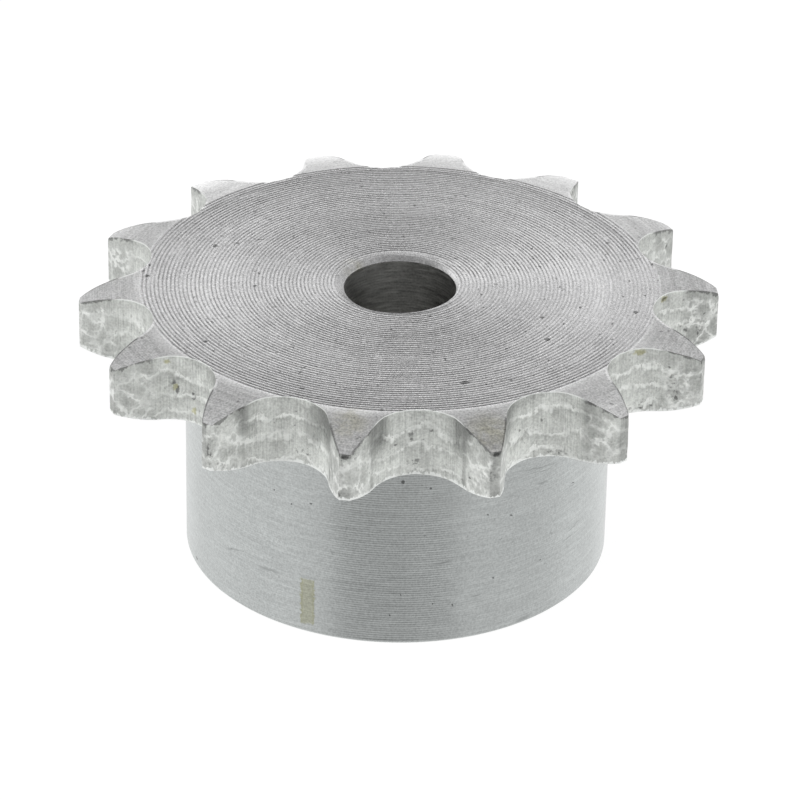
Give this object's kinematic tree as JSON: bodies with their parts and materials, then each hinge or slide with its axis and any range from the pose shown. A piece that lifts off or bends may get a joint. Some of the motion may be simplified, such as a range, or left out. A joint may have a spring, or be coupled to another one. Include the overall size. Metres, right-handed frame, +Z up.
{
  "type": "chain sprocket",
  "caption": "Solid roller-chain sprocket: toothed rim with rounded tooth sides, a stepped hub on one side and a plain through bore.",
  "frame": {"origin": "on the bore axis, at the plane of the hub's free end", "axes": "+Z up the bore axis from the hub to the toothed rim; one tooth points along -Y and gullets lie on +X and -X"},
  "size_m": [0.0598, 0.061, 0.0277],
  "materials": {
    "steel": "turned and hobbed bare steel, satin"
  },
  "bodies": {
    "root": {"sprocket": "steel"}
  },
  "joints": []
}
